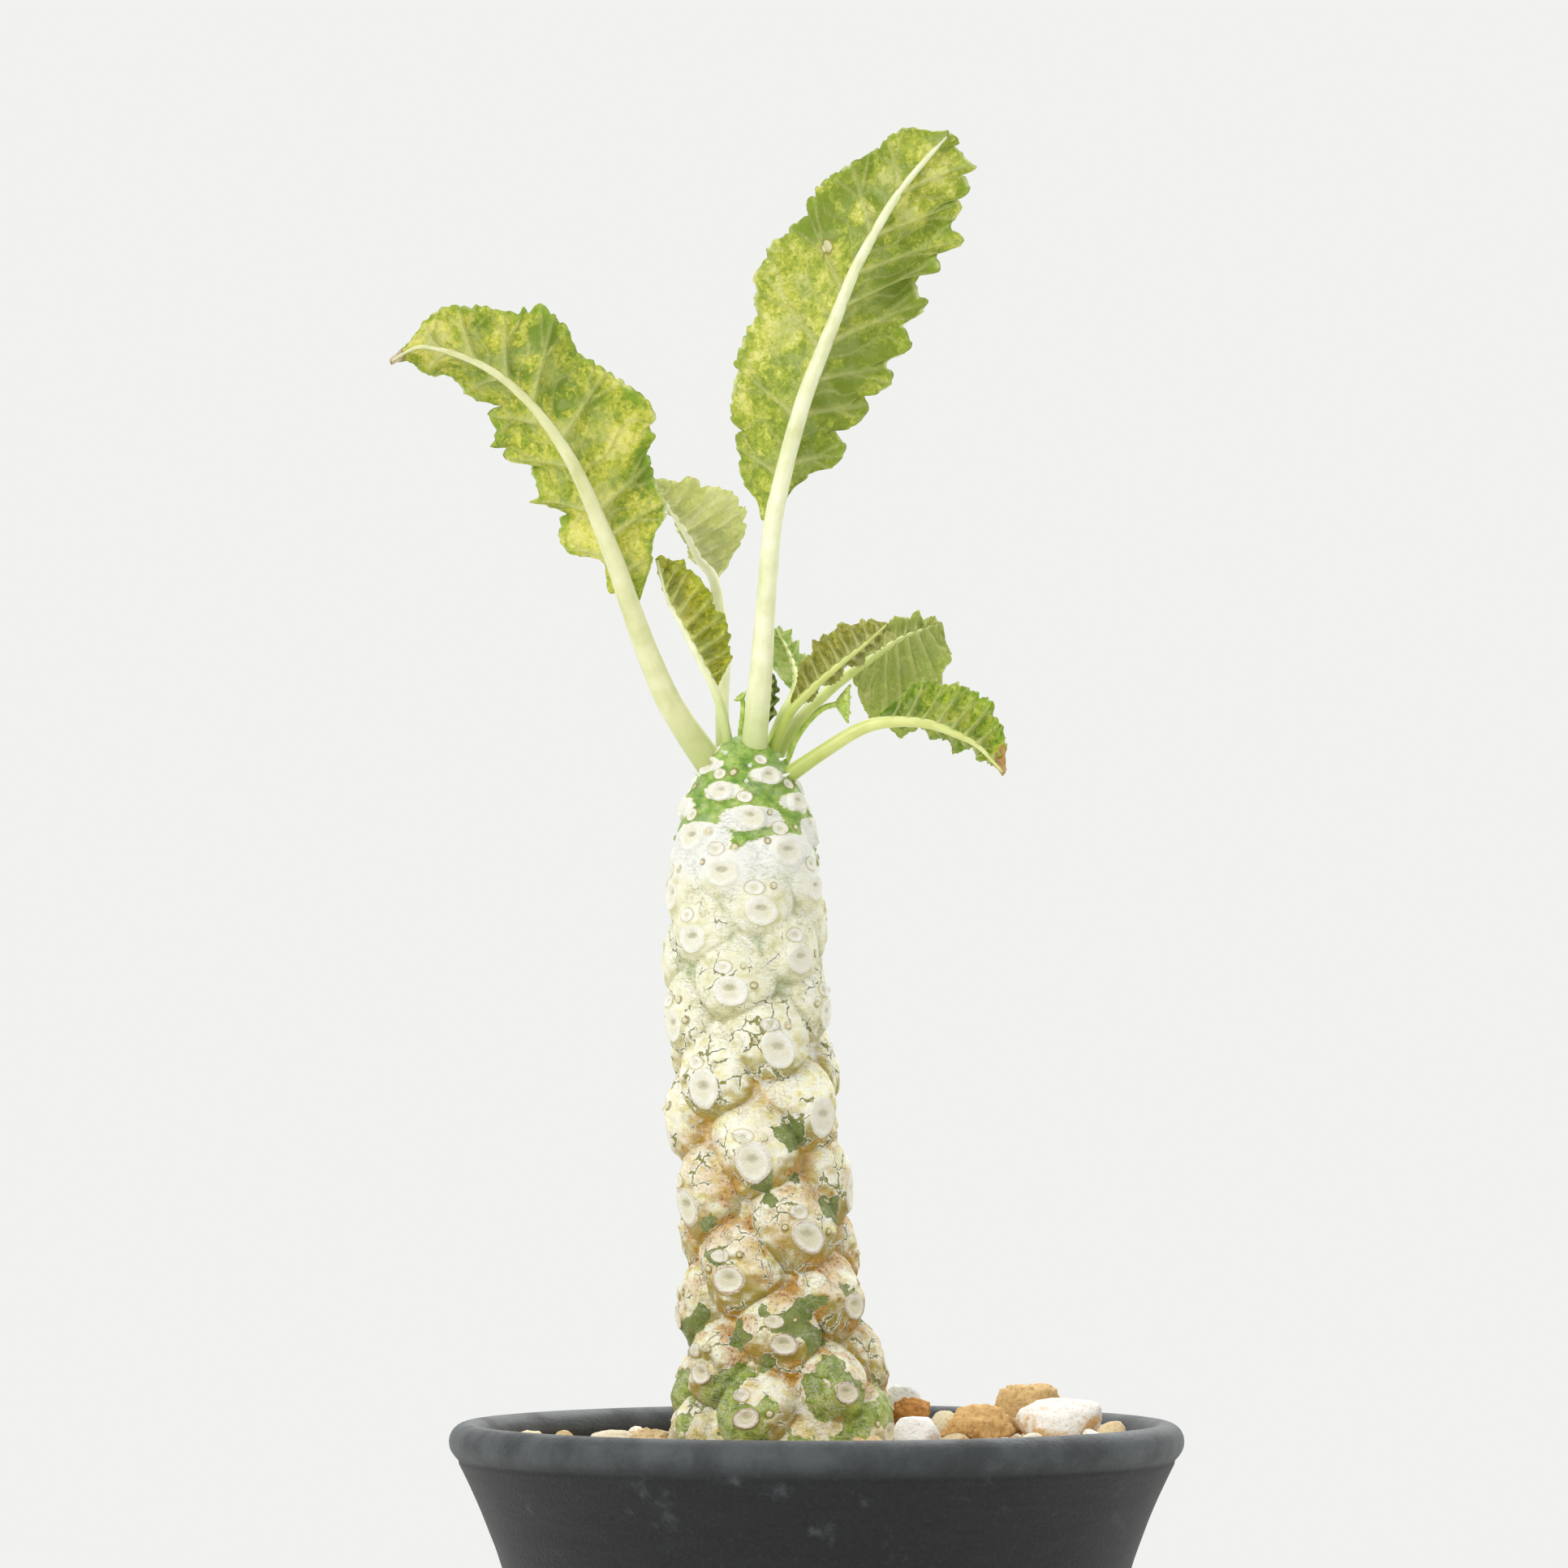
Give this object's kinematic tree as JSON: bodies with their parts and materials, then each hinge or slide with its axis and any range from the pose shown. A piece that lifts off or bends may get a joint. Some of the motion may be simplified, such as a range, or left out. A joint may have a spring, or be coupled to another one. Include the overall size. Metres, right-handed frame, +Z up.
{
  "type": "potted succulent",
  "caption": "Knobbly succulent column with spiralled leaf scars and a crown of toothed variegated leaves, standing in grit in a flared round pot.",
  "frame": {"origin": "centre of the pot's flat underside, on the surface that the pot stands on", "axes": "+Z up along the pot's axis, +X to the right and -Y towards the viewer in the picture's view"},
  "size_m": [0.0978, 0.0904, 0.2368],
  "materials": {
    "fired_clay": "matte",
    "stem_skin": "matte",
    "leaf_blade": "satin",
    "flower_head": "satin",
    "grit": "matte",
    "akadama": "matte",
    "pumice": "matte"
  },
  "bodies": {
    "root": {"pot": "fired_clay", "stem": "stem_skin", "leaf_upright": "leaf_blade", "leaf_arching": "leaf_blade", "leaf_young_left": "leaf_blade", "leaf_young_right": "leaf_blade", "leaf_right_drooping": "leaf_blade", "leaf_back_right": "leaf_blade", "leaf_back_left": "leaf_blade", "leaf_back_centre": "leaf_blade", "leaf_bud_centre": "leaf_blade", "flower_right": "flower_head", "flower_left": "flower_head", "stone_white_sharp": "pumice", "stone_tan_rough": "akadama", "stone_white_tan": "pumice", "stone_tan_back": "akadama", "stone_cream_mid": "pumice", "stone_grey_mid": "pumice", "stone_brown_by_stem": "akadama", "stone_pale_back": "pumice", "stone_tan_left": "akadama", "stone_cream_left": "pumice", "stone_small_left": "pumice", "stone_far_left": "pumice", "grit": "grit"}
  },
  "joints": []
}
